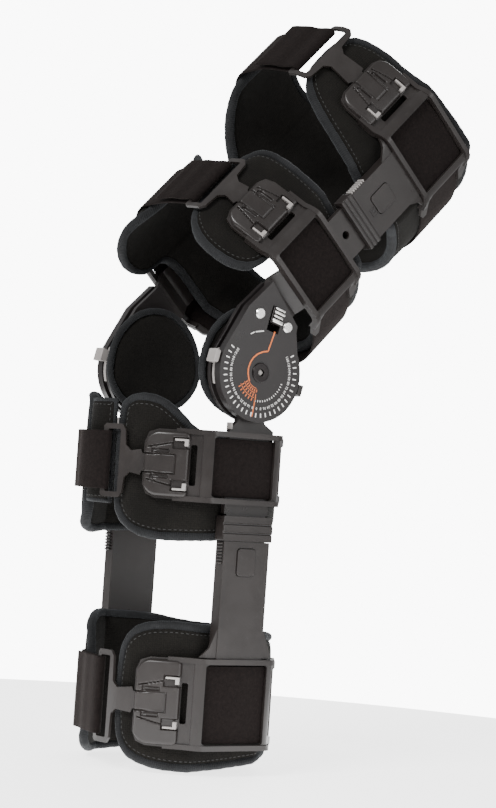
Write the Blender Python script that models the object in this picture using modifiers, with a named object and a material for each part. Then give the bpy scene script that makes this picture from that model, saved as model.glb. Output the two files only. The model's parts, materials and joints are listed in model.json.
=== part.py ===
"""Hinged post-operative knee brace: four cuffs with straps and pads, two dial hinges, telescoping uprights.

The frame: the origin is on the knee axis, midway between the two hinges. +Z runs up along the shank,
+X points to the back of the leg, -Y to its outer side. Below, "lateral" is the outer side and "medial"
the inner one. Lengths are in millimetres up to the placing functions, which turn them into metres.

Each piece is first built flat, with its thickness along z, and is then placed in one of two ways:
hinge plates and uprights stand upright beside the leg, and wings, buckles and pads are bent round it.
"""

from math import cos, pi, radians, sin

import bmesh
import bpy
from mathutils import Matrix, Vector

MM = 0.001
GAP = 0.3

# The knee hinge, as distances outward from the middle of the leg.
KNEE_FLEXION = 44.0
DIAL_R = 37.0
HUB_R = 26.0
PIVOT_R = 5.4
CONDYLE_Y = (59.5, 65.7)
BACK_Y = (67.5, 71.2)
BAR_Y = (71.5, 76.0)
DIAL_Y = (76.3, 83.3)
RIVET_FRONT = (-33.2, 28.9)
RIVET_REAR = (-8.8, 41.0)
STOP_R = (27.0, 36.2)
STOP_TAB_R = (38.2, 42.5)
EXTENSION_STOP = (-152.0, -107.0)
EXTENSION_TAB = (-127.0, -113.0)
FLEXION_STOP = (55.0, 67.0)
LOCK_ANGLE = -29.0
LOCK_R = (37.5, 51.0)
LOCK_WIDTH = 11.0

# The uprights.
BAR_WIDTH = 36.0
SHANK_NECK_WIDTH = 40.0
SHANK_NECK_END = -106.0
SHANK_BAR_X = 1.2
SHANK_BAR_END = -202.0
THIGH_BAR_T = -26.0
THIGH_BAR_END = 222.0
ADJUSTING_HOLE = 128.0
JOGGLE = 8.5
JOGGLE_FROM = 57.0
JOGGLE_TO = 69.0

# The layers of a cuff, outward from the pad's outer face; the lift carries strap and wing over the upright.
PAD_THICK = 8.7
LIFT = 6.6
STRAP_R = (0.3, 1.8)
WING_R = (2.1, 4.6)
RIM_R = (0.3, 6.4)
SLEEVE_R = (0.3, 10.3)
CAVITY_R = (1.8, 6.9)
COLLAR_R = (0.2, 10.9)
CORNER_R = 12.0
REAR_TURN = radians(42.0)
CORNER_LENGTH = CORNER_R * REAR_TURN

RIM = 4.5
REAR_PANEL = 14.0
REAR_ARM = 8.0
RECEIVER_END = 47.0
HOUSING = (25.2, 45.0)
HOUSING_HALF = 19.3
TONGUE_HALF = 6.5
RING_DEPTH = 15.0
RING_BAR = 4.0
FOLD_TAIL = 42.0

CHARCOAL = ((0.075, 0.062, 0.058), 0.45, 0.0)
SATIN_PLATE = ((0.05, 0.043, 0.043), 0.4, 0.3)
BLACK_METAL = ((0.03, 0.028, 0.028), 0.4, 0.6)
PALE_GREY = ((0.4, 0.38, 0.36), 0.5, 0.0)
BRIGHT_METAL = ((0.75, 0.74, 0.72), 0.25, 1.0)
VELOUR = ((0.022, 0.017, 0.016), 0.95, 0.0)
FOAM = ((0.03, 0.029, 0.026), 0.95, 0.0)

# Every cuff: its side panel's centre, distance out and half width; the turn round its front corner, the
# straight after it and the bend, turn and straight that follow; the rear straight; where its D-ring starts;
# the upright's offset along the panel; its window's ends along the limb.
CUFFS = {
    "thigh_upper": dict(centre=-28.0, flat=77.9, half=27.0, turn=30.0, receiver=63.0, bend=18.0,
                        front_turn=80.0, front=24.0, rear=24.0, ring=73.0, bar=-2.0, window=(207.0, 258.0),
                        swell=0.10, flare=15.0),
    "thigh_lower": dict(centre=-28.0, flat=77.9, half=27.0, turn=36.0, receiver=47.0, bend=18.0,
                        front_turn=83.0, front=20.0, rear=24.0, ring=62.0, bar=-2.0, window=(66.0, 113.0),
                        swell=0.05, flare=13.0),
    "calf_upper": dict(centre=-5.5, flat=69.4, half=27.0, turn=42.0, receiver=38.0, bend=34.0,
                       front_turn=66.0, front=22.0, rear=14.0, ring=61.0, bar=-6.7, window=(-94.5, -49.5),
                       swell=0.0, flare=0.0),
    "calf_lower": dict(centre=1.0, flat=69.4, half=27.0, turn=42.0, receiver=41.0, bend=16.0,
                       front_turn=84.0, front=16.0, rear=14.0, ring=64.0, bar=-0.2, window=(-276.0, -217.0),
                       swell=-0.16, flare=0.0),
}

# A pad's edge along one side, as (distance round from the side panel's centre, height), front end to back.
PAD_EDGES = {
    "thigh_upper": dict(
        top=[(112, 240), (108, 256), (94, 268), (72, 273), (46, 272), (20, 277), (-24, 280), (-60, 277)],
        bottom=[(112, 230), (110, 212), (98, 198), (78, 188), (50, 178), (24, 168), (-24, 168), (-60, 176)],
    ),
    "thigh_lower": dict(
        top=[(112, 110), (108, 128), (94, 138), (72, 143), (46, 142), (20, 138), (-24, 134), (-60, 130)],
        bottom=[(112, 90), (108, 70), (98, 52), (80, 40), (58, 38), (40, 42), (28, 54), (25, 76),
                (-26, 76), (-42, 76), (-60, 78)],
    ),
    "calf_upper": dict(
        top=[(100, -34), (94, -24), (82, -20), (64, -22), (50, -32), (36, -46), (20, -48), (-30, -50),
             (-60, -58)],
        bottom=[(100, -100), (96, -114), (84, -124), (64, -129), (40, -128), (0, -126), (-40, -124),
                (-60, -122)],
    ),
    "calf_lower": dict(
        top=[(94, -216), (88, -200), (74, -190), (54, -187), (30, -188), (-20, -190), (-56, -196)],
        bottom=[(94, -262), (88, -282), (74, -293), (54, -298), (24, -298), (-20, -294), (-56, -288)],
    ),
}

ARC_STEP = radians(10.0)


def clear_scene():
    for thing in list(bpy.data.objects):
        bpy.data.objects.remove(thing, do_unlink=True)


def collection(name):
    found = bpy.data.collections.get(name) or bpy.data.collections.new(name)
    if name not in bpy.context.scene.collection.children:
        bpy.context.scene.collection.children.link(found)
    return found


def finish_object(name, mesh, look, parent=None):
    """A named object in the brace's collection with a Principled material of its own."""
    colour, roughness, metallic = look
    material = bpy.data.materials.new(name)
    material.use_nodes = True
    shader = material.node_tree.nodes["Principled BSDF"]
    shader.inputs["Base Color"].default_value = (*colour, 1.0)
    shader.inputs["Roughness"].default_value = roughness
    shader.inputs["Metallic"].default_value = metallic
    mesh.materials.clear()
    mesh.materials.append(material)
    mesh.name = name
    made = bpy.data.objects.new(name, mesh)
    made.parent = parent
    collection("knee_brace").objects.link(made)
    return made


# ---- flat solids -------------------------------------------------------------------------------


def scratch(mesh):
    made = bpy.data.objects.new("cutter", mesh)
    made.hide_render = True
    made.display_type = "WIRE"
    collection("cutters").objects.link(made)
    return made


def evaluated(thing):
    """The object's mesh as its modifiers leave it, welded, with the object itself removed."""
    graph = bpy.context.evaluated_depsgraph_get()
    mesh = bpy.data.meshes.new_from_object(thing.evaluated_get(graph))
    mesh.transform(thing.matrix_world)
    shape = bmesh.new()
    shape.from_mesh(mesh)
    bmesh.ops.remove_doubles(shape, verts=shape.verts, dist=0.0001)
    shape.to_mesh(mesh)
    shape.free()
    bpy.data.objects.remove(thing, do_unlink=True)
    return mesh


def sheet_solid(outline, low, high, holes=()):
    """A flat outline with holes, filled and made thick from low to high."""
    curve = bpy.data.curves.new("outline", "CURVE")
    curve.dimensions = "2D"
    curve.fill_mode = "BOTH"
    curve.extrude = (high - low) / 2
    for loop in [outline, *holes]:
        spline = curve.splines.new("POLY")
        spline.points.add(len(loop) - 1)
        for point, (x, y) in zip(spline.points, loop):
            point.co = (x, y, 0.0, 1.0)
        spline.use_cyclic_u = True
    made = scratch(curve)
    made.location.z = (low + high) / 2
    bpy.context.view_layer.update()
    return evaluated(made)


def block(x, y, z):
    """A box between the pairs of limits x, y and z."""
    shape = bmesh.new()
    bmesh.ops.create_cube(shape, size=1.0)
    size = [limits[1] - limits[0] for limits in (x, y, z)]
    middle = [sum(limits) / 2 for limits in (x, y, z)]
    shape.transform(Matrix.Translation(middle) @ Matrix.Diagonal((*size, 1.0)))
    mesh = bpy.data.meshes.new("block")
    shape.to_mesh(mesh)
    shape.free()
    return mesh


def turned(profile, sides=32):
    """A solid of revolution about z from a profile of (radius, height) points, as a closed loop."""
    mesh = bpy.data.meshes.new("profile")
    count = len(profile)
    edges = [(n, (n + 1) % count) for n in range(count)]
    mesh.from_pydata([(radius, 0.0, height) for radius, height in profile], edges, [])
    made = scratch(mesh)
    screw = made.modifiers.new("turn", "SCREW")
    screw.steps = sides
    screw.render_steps = sides
    screw.use_merge_vertices = True
    screw.merge_threshold = 0.0001
    return evaluated(made)


def combine(first, others, operation="UNION"):
    base = scratch(first)
    tools = [scratch(other) for other in others]
    for tool in tools:
        cut = base.modifiers.new("combine", "BOOLEAN")
        cut.operation = operation
        cut.solver = "EXACT"
        cut.object = tool
    bpy.context.view_layer.update()
    mesh = evaluated(base)
    for tool in tools:
        bpy.data.objects.remove(tool, do_unlink=True)
    return mesh


def polar(radius, degrees):
    """A point at an angle from straight up, positive towards the back of the leg."""
    return (radius * sin(radians(degrees)), radius * cos(radians(degrees)))


def arc(radius, start, end, step=10.0):
    count = max(2, round(abs(end - start) / step) + 1)
    return [polar(radius, start + (end - start) * n / (count - 1)) for n in range(count)]


def rounded(x0, x1, y0, y1, radius):
    """A rectangle's outline with round corners."""
    corners = [(x1 - radius, y1 - radius, 0), (x0 + radius, y1 - radius, 270),
               (x0 + radius, y0 + radius, 180), (x1 - radius, y0 + radius, 90)]
    loop = []
    for x, y, start in corners:
        for turn in (90, 60, 30, 0):
            dx, dy = polar(radius, start + turn)
            loop.append((x + dx, y + dy))
    return loop


# ---- placing -----------------------------------------------------------------------------------


def face_out(shape):
    """Turns every face of a closed bmesh solid outward."""
    bmesh.ops.recalc_face_normals(shape, faces=shape.faces)
    if shape.calc_volume(signed=True) < 0:
        bmesh.ops.reverse_faces(shape, faces=shape.faces)


def outward(mesh):
    shape = bmesh.new()
    shape.from_mesh(mesh)
    face_out(shape)
    shape.to_mesh(mesh)
    shape.free()


def upright(mesh, side):
    """Stands a flat solid beside the leg: x stays, y becomes height, thickness runs outward."""
    for vertex in mesh.vertices:
        x, y, z = vertex.co
        vertex.co = (x * MM, side * z * MM, y * MM)
    outward(mesh)
    return mesh


def joggled(mesh):
    """Moves the thigh upright's upper part outward, past the flare of the thigh."""
    shape = bmesh.new()
    shape.from_mesh(mesh)
    for height in (JOGGLE_FROM, JOGGLE_TO):
        everything = [*shape.verts, *shape.edges, *shape.faces]
        bmesh.ops.bisect_plane(shape, geom=everything, plane_co=(0, height, 0), plane_no=(0, 1, 0))
    for vertex in shape.verts:
        share = (vertex.co.y - JOGGLE_FROM) / (JOGGLE_TO - JOGGLE_FROM)
        vertex.co.z += JOGGLE * min(1.0, max(0.0, share))
    shape.to_mesh(mesh)
    shape.free()
    return mesh


class Path:
    """A cuff's outline in plan: a flat side panel, a corner, straight panels and an arc over the middle.

    The limb isn't alike on both sides, so the medial front is swollen forward and flared out a little.
    """

    def __init__(self, centre, flat, half, turn, receiver, bend, front_turn, front, rear, swell, flare, **_):
        self.centre = centre
        self.flat = flat
        self.half = half
        self.swell = swell
        self.flare = flare
        turn = radians(turn)
        front_turn = radians(front_turn)
        side = (half, 0.0, 0.0)
        self.front = self.closed([side, (CORNER_R * turn, 0.0, turn), (receiver, turn, turn),
                                  (bend * (front_turn - turn), turn, front_turn),
                                  (front, front_turn, front_turn)])
        self.rear = self.closed([side, (CORNER_LENGTH, 0.0, REAR_TURN), (rear, REAR_TURN, REAR_TURN)])
        self.front_length = sum(length for length, _, _ in self.front)
        self.rear_length = sum(length for length, _, _ in self.rear)
        self.round = 2 * (self.front_length + self.rear_length)
        self.reach = self.walk(self.front, 1e9)[0] - half

    def closed(self, stretches):
        """Adds the arc that ends on the middle of the leg, heading straight across."""
        _, inward, heading = self.walk(stretches, 1e9)
        radius = (self.flat - inward) / cos(heading)
        return [*stretches, (radius * (pi / 2 - heading), heading, pi / 2)]

    @staticmethod
    def walk(stretches, distance):
        ahead = inward = heading = 0.0
        for length, start, end in stretches:
            part = min(distance, length)
            heading = start + (end - start) * part / length
            if end == start:
                ahead += part * cos(start)
                inward += part * sin(start)
            else:
                radius = length / (end - start)
                ahead += radius * (sin(heading) - sin(start))
                inward += radius * (cos(start) - cos(heading))
            distance -= part
            if distance <= 0:
                break
        return ahead, inward, heading

    def local(self, w):
        """Brings a distance round the leg to the nearer side panel, and says if it is the medial one."""
        w = (w + self.rear_length) % self.round - self.rear_length
        if w > self.front_length:
            return 2 * self.front_length - w, True
        return w, False

    def point(self, w, out):
        """The plan position at distance w round from the lateral panel's centre, out from the path."""
        w, medial = self.local(w)
        ahead, inward, heading = self.walk(self.front if w >= 0 else self.rear, abs(w))
        ahead += out * sin(heading)
        inward -= out * cos(heading)
        x = self.centre - ahead if w >= 0 else self.centre + ahead
        y = -self.flat + inward
        return self.swollen(x, -y if medial else y)

    def swollen(self, x, y):
        """Moves a point of the medial front forward and outward."""
        ahead = self.centre - self.half - x
        if ahead <= 0 or y <= -20.0:
            return x, y
        share = min(1.0, (y + 20.0) / 60.0)
        share *= share * (3 - 2 * share)
        part = min(1.0, ahead / self.reach)
        return x - ahead * self.swell * share, y + 4 * self.flare * part * (1 - part) * share

    def lift(self, w):
        """How much of the rise over the upright a strap or wing has at w."""
        w, _ = self.local(w)
        share = min(1.0, max(0.0, 1.0 - (abs(w) - self.half) / CORNER_LENGTH))
        return LIFT * share * share * (3 - 2 * share)

    def cuts(self):
        """Where a flat piece has to be cut to bend smoothly."""
        places = set()
        for sign, stretches in ((1, self.front), (-1, self.rear)):
            reached = 0.0
            for length, start, end in stretches:
                count = max(1, round(abs(end - start) / ARC_STEP))
                for n in range(count + 1):
                    places.add(round(sign * (reached + length * n / count), 3))
                reached += length
            places.add(round(sign * (self.half + CORNER_LENGTH), 3))
        mirrored = {round(2 * self.front_length - w, 3) for w in places}
        mirrored |= {round(-2 * self.rear_length - w, 3) for w in places}
        return sorted(places | mirrored)


def bent(mesh, path, lifted=True, medial=False):
    """Bends a flat solid, made with x forward from the side panel's centre, y up and z out, round the leg."""
    low = min(vertex.co.x for vertex in mesh.vertices)
    high = max(vertex.co.x for vertex in mesh.vertices)
    shape = bmesh.new()
    shape.from_mesh(mesh)
    for w in path.cuts():
        if low + 0.1 < w < high - 0.1:
            everything = [*shape.verts, *shape.edges, *shape.faces]
            bmesh.ops.bisect_plane(shape, geom=everything, plane_co=(w, 0, 0), plane_no=(1, 0, 0))
    for vertex in shape.verts:
        w, height, out = vertex.co
        out += path.lift(w) if lifted else 0.0
        x, y = path.point(2 * path.front_length - w if medial else w, out)
        vertex.co = (x * MM, y * MM, height * MM)
    face_out(shape)
    shape.to_mesh(mesh)
    shape.free()
    return mesh


def origin_at_centre(made):
    """Moves an object's origin to its middle, for a small piece that slides."""
    corners = [Vector(corner) for corner in made.bound_box]
    middle = (corners[0] + corners[6]) / 2
    made.data.transform(Matrix.Translation(-middle))
    made.location = middle


# ---- the hinge ---------------------------------------------------------------------------------


def dial_outline(radius):
    """A round dial with a shoulder that reaches up and forward to the thigh upright."""
    shoulder = [(-44.0, 25.0), (-43.0, 53.5), (-3.0, 48.5), (0.0, 44.5)]
    return [*arc(radius, 20.0, 252.0, 8.0), *shoulder]


def lock_slot(grow):
    half = LOCK_WIDTH / 2 + grow
    ends = (LOCK_R[0] - grow, LOCK_R[1] + grow)
    along = Vector(polar(1.0, LOCK_ANGLE))
    across = Vector((along.y, -along.x))
    corners = ((ends[0], -half), (ends[1], -half), (ends[1], half), (ends[0], half))
    return [tuple(along * r + across * s) for r, s in corners]


def stop(sector, tab):
    """A travel stop: an arc beside the hub, with a thumb tab that stands out past the dial's rim."""
    foot = sheet_solid([*arc(STOP_R[1], *sector), *reversed(arc(STOP_R[0], *sector))],
                       BAR_Y[0] + GAP, BAR_Y[1] - GAP)
    neck = sheet_solid([*arc(STOP_TAB_R[0] + 1.0, *tab), *reversed(arc(STOP_R[0] + 2.0, *tab))],
                       BAR_Y[0] + GAP, BAR_Y[1] - GAP)
    thumb = sheet_solid([*arc(STOP_TAB_R[1], *tab), *reversed(arc(STOP_TAB_R[0], *tab))],
                        BAR_Y[0] + GAP, DIAL_Y[1] - 1.0)
    return combine(foot, [neck, thumb])


def lock_slide():
    """The lock's slide: a ribbed thumb plate over the dial, on a stem that runs between the plates."""
    stem = sheet_solid(lock_slot(-1.0), DIAL_Y[0] + 1.0, DIAL_Y[1] + 0.5)
    shape = combine(stem, [sheet_solid(lock_slot(-0.4), DIAL_Y[1] - 1.5, DIAL_Y[1] + 2.5)])
    along = Vector(polar(1.0, LOCK_ANGLE))
    across = Vector((along.y, -along.x))
    ribs = []
    for n in range(3):
        middle = LOCK_R[0] + 3.5 + 4.8 * n
        corners = ((-1.2, -4.8), (1.2, -4.8), (1.2, 4.8), (-1.2, 4.8))
        loop = [tuple(along * (middle + r) + across * s) for r, s in corners]
        ribs.append(sheet_solid(loop, DIAL_Y[1] + 2.0, DIAL_Y[1] + 4.2))
    return combine(shape, ribs)


def shank_bar():
    """The hub with a narrow neck, so that the stops can reach it, and the lower upright."""
    half = BAR_WIDTH / 2
    wide = SHANK_NECK_WIDTH / 2
    neck = 12.5
    outline = [*arc(HUB_R, -151.0, 151.0, 8.0), (neck, -37.5), (SHANK_BAR_X + wide, -43.0),
               (SHANK_BAR_X + wide, SHANK_NECK_END), (SHANK_BAR_X + half, SHANK_NECK_END),
               (SHANK_BAR_X + half, SHANK_BAR_END), (SHANK_BAR_X - half, SHANK_BAR_END),
               (SHANK_BAR_X - half, SHANK_NECK_END), (SHANK_BAR_X - wide, SHANK_NECK_END),
               (SHANK_BAR_X - wide, -43.0), (-neck, -37.5)]
    return sheet_solid(outline, *BAR_Y, holes=[arc(PIVOT_R + 0.6, 0.0, 345.0, 15.0)])


def thigh_bar():
    """The upper upright, riveted between the hinge's plates, with one adjusting hole that shows."""
    half = BAR_WIDTH / 2
    front = THIGH_BAR_T - half
    rear = THIGH_BAR_T + half
    outline = [*arc(39.0, -46.0, 8.0, 8.0), (rear + 8.0, 44.0), (rear, 54.0), (rear, THIGH_BAR_END),
               (front, THIGH_BAR_END), (front, 56.0), (-40.5, 50.0), (-40.5, 27.0)]
    rivets = [[(x + dx, y + dy) for dx, dy in arc(3.1, 0.0, 345.0, 15.0)]
              for x, y in (RIVET_FRONT, RIVET_REAR)]
    hole = [(THIGH_BAR_T + dx, ADJUSTING_HOLE + dy) for dx, dy in arc(3.2, 0.0, 345.0, 15.0)]
    return joggled(sheet_solid(outline, *BAR_Y, holes=[*rivets, hole]))


def hinge_plate(thickness, holes):
    return sheet_solid(dial_outline(DIAL_R), *thickness, holes=holes)


def rivet(place):
    """A plain rivet through both plates and the thigh upright."""
    shank = 2.7
    head = 4.2
    low = BACK_Y[0] - GAP
    high = DIAL_Y[1] + GAP
    profile = [(0.0, low - 0.9), (head, low - 0.9), (head, low), (shank, low), (shank, high),
               (head, high), (head - 0.8, high + 1.1), (0.0, high + 1.1)]
    mesh = turned(profile, 24)
    mesh.transform(Matrix.Translation((*place, 0.0)))
    return mesh


def pivot_rivet():
    low = BACK_Y[0] - GAP
    high = DIAL_Y[1] + GAP
    profile = [(2.6, low - 1.1), (7.6, low - 1.1), (7.6, low), (PIVOT_R, low), (PIVOT_R, high),
               (7.6, high), (7.0, high + 1.0), (2.6, high + 1.0)]
    return turned(profile, 32)


def condyle_pad():
    """A round foam pad behind the hinge, a little longer towards the front."""
    loop = []
    for n in range(36):
        x, y = polar(1.0, 10.0 * n)
        loop.append((x * (36.0 if x > 0 else 49.0) - 1.0, y * 44.0 + 3.0))
    mesh = sheet_solid(loop, *CONDYLE_Y)
    mesh.transform(Matrix.Rotation(radians(KNEE_FLEXION), 4, "Z"))
    return mesh


# ---- cuffs -------------------------------------------------------------------------------------


def wing_outline(cuff, receiver):
    """The wing in plan view: two arms behind the window, the window's frame, and the receiver's panel."""
    low, high = cuff["window"]
    low -= RIM
    high += RIM
    middle = (low + high) / 2
    corner = cuff["half"] + CORNER_LENGTH
    rear = -corner - REAR_PANEL
    rib = -cuff["half"] - 3.5
    if receiver:
        end = cuff["half"] + RECEIVER_END
        notch = cuff["half"] + 20.0
        slot = TONGUE_HALF + 0.8
        front = [(end - 10.0, low + 1.5), (end - 3.0, low + 4.2), (end, low + 11.5), (end, middle - slot),
                 (notch, middle - slot), (notch, middle + slot), (end, middle + slot),
                 (end, high - 11.5), (end - 3.0, high - 4.2), (end - 10.0, high - 1.5)]
    else:
        end = corner + REAR_PANEL
        front = [(end - 4.0, low), (end, low + 5.0), (end, high - 5.0), (end - 4.0, high)]
    arms = [(rear + 6.0, high), (rear, high - 3.5), (rear, high - REAR_ARM), (rib, high - REAR_ARM - 3.0),
            (rib, low + REAR_ARM + 3.0), (rear, low + REAR_ARM), (rear, low + 3.5), (rear + 6.0, low)]
    return [*arms, *front]


def wing(cuff, receiver, sleeve=None):
    """A cuff's moulded wing: a frame round the strap's window, with the buckle's receiver on the lateral one."""
    low, high = cuff["window"]
    half = cuff["half"]
    middle = (low + high) / 2
    holes = [rounded(-half + 1.0, half + 1.0, low, high, 2.0)]
    if receiver:
        holes.append(rounded(half + 8.0, half + 12.5, middle - 15.0, middle + 15.0, 1.2))
    plate = sheet_solid(wing_outline(cuff, receiver), *WING_R, holes=holes)
    front = half + (23.7 if receiver else 7.0)
    extras = [block((-half - 9.0, front), (high + GAP, high + RIM - GAP), RIM_R),
              block((-half - 9.0, front), (low - RIM + GAP, low - GAP), RIM_R)]
    if receiver:
        extras.append(block((half + 1.5, half + 5.5), (low - 1.0, high + 1.0), (3.0, 6.0)))
        for side in (-1, 1):
            edges = sorted((middle + side * (TONGUE_HALF + 1.1), middle + side * HOUSING_HALF))
            extras.append(block((half + HOUSING[0], half + HOUSING[1]), edges, (3.0, 6.8)))
        extras.append(block((half + 27.0, half + 36.0), (middle - 12.0, middle + 12.0), (5.0, 6.4)))
    mesh = combine(plate, extras)
    if sleeve is None:
        return mesh
    ends, button = sleeve
    centre = cuff["bar"]
    tube = block((centre - 20.7, centre + 20.7), ends, [r - LIFT for r in SLEEVE_R])
    near, far = (low - RIM, ends[0]) if ends[0] < low else (high + RIM, ends[1])
    flare = near + (far - near) * 0.28
    near -= 0.5 if near > far else -0.5
    gusset = sheet_solid([(-half - 4.0, near), (half + 4.0, near), (half, near + (flare - near) * 0.3),
                          (centre + 20.0, flare), (centre - 20.0, flare),
                          (-half, near + (flare - near) * 0.3)], WING_R[0] - 1.0, SLEEVE_R[1] - LIFT - 0.4)
    width = BAR_WIDTH / 2 + GAP
    channel = block((centre - width, centre + width), (min(low, ends[0]) - 9.0, max(high, ends[1]) + 9.0),
                    [r - LIFT for r in CAVITY_R])
    opening = sheet_solid(rounded(centre - 8.6, centre + 8.6, button - 10.6, button + 10.6, 3.0), -1.0, 6.0)
    return combine(combine(mesh, [tube, gusset]), [channel, opening], "DIFFERENCE")


def telescope_button(cuff, place):
    """A push button in the sleeve's face; it rides clear of the upright when it is pressed home."""
    centre = cuff["bar"]
    outline = rounded(centre - 8.2, centre + 8.2, place - 10.2, place + 10.2, 3.0)
    return sheet_solid(outline, 9.0 - LIFT, 11.3 - LIFT)


def collar(cuff, ends):
    """The sleeve's end cap, with two grooves round its outer face."""
    centre = cuff["bar"]
    out = [r - LIFT for r in COLLAR_R]
    width = BAR_WIDTH / 2 + GAP
    body = block((centre - 22.5, centre + 22.5), ends, out)
    cuts = [block((centre - width, centre + width), (ends[0] - 1.0, ends[1] + 1.0),
                  [r - LIFT for r in CAVITY_R])]
    for share in (0.32, 0.68):
        groove = ends[0] + (ends[1] - ends[0]) * share
        cuts.append(block((centre - 24.0, centre + 24.0), (groove - 0.8, groove + 0.8), (out[1] - 1.0, out[1] + 1)))
    return combine(body, cuts, "DIFFERENCE")


def buckle(cuff):
    """The tongue and D-ring: a strip that plugs into the receiver, a waisted neck and a strap loop."""
    low, high = cuff["window"]
    half = cuff["half"]
    middle = (low + high) / 2
    strap = (high - low) / 2 + 0.2
    start = half + 21.0
    bar_a = half + cuff["ring"]
    bar_b = bar_a + RING_DEPTH + RING_BAR
    waist = [(start, 5.5), (half + 24.0, TONGUE_HALF), (half + RECEIVER_END + 1.0, TONGUE_HALF),
             (half + RECEIVER_END + 2.0, 9.5), (bar_a - 5.0, 8.0), (bar_a - 1.0, 12.0),
             (bar_a, strap + 0.5), (bar_a + 3.0, strap + 4.5), (bar_b - 2.0, strap + 4.5),
             (bar_b, strap + 2.5)]
    outline = [(w, middle + v) for w, v in waist] + [(w, middle - v) for w, v in reversed(waist)]
    window = rounded(bar_a + RING_BAR, bar_b - RING_BAR, middle - strap - 0.5, middle + strap + 0.5, 1.0)
    return sheet_solid(outline, 2.3, 4.5, holes=[window])


def release_tab(cuff, side):
    low, high = cuff["window"]
    middle = (low + high) / 2
    edges = sorted((middle + side * 13.5, middle + side * 19.0))
    return block((cuff["half"] + 14.0, cuff["half"] + 24.5), edges, (WING_R[1] + GAP, 7.4))


def strap(cuff, path):
    """One strap in plan: folded back over the D-ring's bar, round the front, the back and both windows."""
    low, high = (end + side * 0.5 for end, side in zip(cuff["window"], (1, -1)))
    bar = cuff["half"] + cuff["ring"] + RING_DEPTH
    last = path.round + cuff["half"] + 8.0
    steps = [w for w in (place + turn * path.round for place in path.cuts() for turn in (0, 1))
             if bar + 1.0 < w < last - 1.0]
    steps = sorted({round(w, 2) for w in steps})
    steps = [w for n, w in enumerate(steps) if n == 0 or w - steps[n - 1] > 0.4]
    fold = (5.0, 6.5)

    def along(places, out, lifted=True):
        return [path.point(w, out + (path.lift(w) if lifted else 0.0)) for w in places]

    tail = [w for w in steps if w < bar + FOLD_TAIL]
    outline = along([bar + FOLD_TAIL], fold[1]) + along(reversed(tail), fold[1]) + along([bar], fold[1])
    outline += along([bar - 1.9], 5.0) + along([bar - 1.9], 1.7) + along([bar], STRAP_R[0])
    outline += along([*steps, last], STRAP_R[0])
    outline += along([last, *reversed(steps)], STRAP_R[1])
    outline += along([bar + 0.4], STRAP_R[1]) + along([bar - 0.4], 2.3) + along([bar - 0.4], 4.5)
    outline += along([bar + 0.4], fold[0]) + along([*tail, bar + FOLD_TAIL], fold[0])
    mesh = sheet_solid(outline, low, high)
    mesh.transform(Matrix.Scale(MM, 4))
    outward(mesh)
    return mesh


def pad(cuff_name, path):
    """A foam pad that wraps from the lateral front round the back to the medial front."""
    edges = PAD_EDGES[cuff_name]
    back = -2 * path.rear_length
    top = edges["top"] + [(back - w, v) for w, v in reversed(edges["top"])]
    bottom = edges["bottom"] + [(back - w, v) for w, v in reversed(edges["bottom"])]
    mesh = sheet_solid(top + list(reversed(bottom)), -PAD_THICK - GAP, -GAP)
    return bent(mesh, path, lifted=False)


def front_band(path):
    """A soft closure that joins the upper calf pad's two front ends under the strap."""
    start = 101.0
    mesh = sheet_solid(rounded(start, 2 * path.front_length - start, -104.0, -26.0, 3.0), -5.0, -1.5)
    return bent(mesh, path, lifted=False)


# ---- the brace ---------------------------------------------------------------------------------


def both_sides(build, name, look, parent, side_builder):
    for side, prefix in ((-1, "lateral"), (1, "medial")):
        finish_object(f"{prefix}_{name}", side_builder(build(), side), look, parent)


def build_hinge(thigh):
    rivets = [[(x + dx, y + dy) for dx, dy in arc(3.1, 0.0, 345.0, 15.0)]
              for x, y in (RIVET_FRONT, RIVET_REAR)]
    bore = arc(PIVOT_R + 0.4, 0.0, 345.0, 15.0)
    slot = lock_slot(0.0)
    slot = [Vector(point) for point in slot]
    low_end = Vector(polar(5.5, LOCK_ANGLE))
    slot = [tuple(slot[0] - low_end), tuple(slot[1]), tuple(slot[2]), tuple(slot[3] - low_end)]
    both_sides(lambda: hinge_plate(DIAL_Y, [bore, *rivets, slot]), "dial_plate",
               SATIN_PLATE, thigh, upright)
    both_sides(lambda: hinge_plate(BACK_Y, [bore, *rivets]), "back_plate",
               SATIN_PLATE, thigh, upright)
    both_sides(shank_bar, "shank_bar", CHARCOAL, None, upright)
    both_sides(thigh_bar, "thigh_bar", CHARCOAL, thigh, upright)
    both_sides(pivot_rivet, "pivot_rivet", BLACK_METAL, thigh, upright)
    both_sides(lambda: rivet(RIVET_FRONT), "front_rivet", BRIGHT_METAL, thigh, upright)
    both_sides(lambda: rivet(RIVET_REAR), "rear_rivet", BRIGHT_METAL, thigh, upright)
    both_sides(lambda: stop(EXTENSION_STOP, EXTENSION_TAB), "extension_stop", PALE_GREY, thigh, upright)
    both_sides(lambda: stop(FLEXION_STOP, FLEXION_STOP), "flexion_stop", CHARCOAL, thigh, upright)
    both_sides(lock_slide, "lock_slide", BRIGHT_METAL, thigh, upright)
    both_sides(condyle_pad, "condyle_pad", FOAM, thigh, upright)


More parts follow.
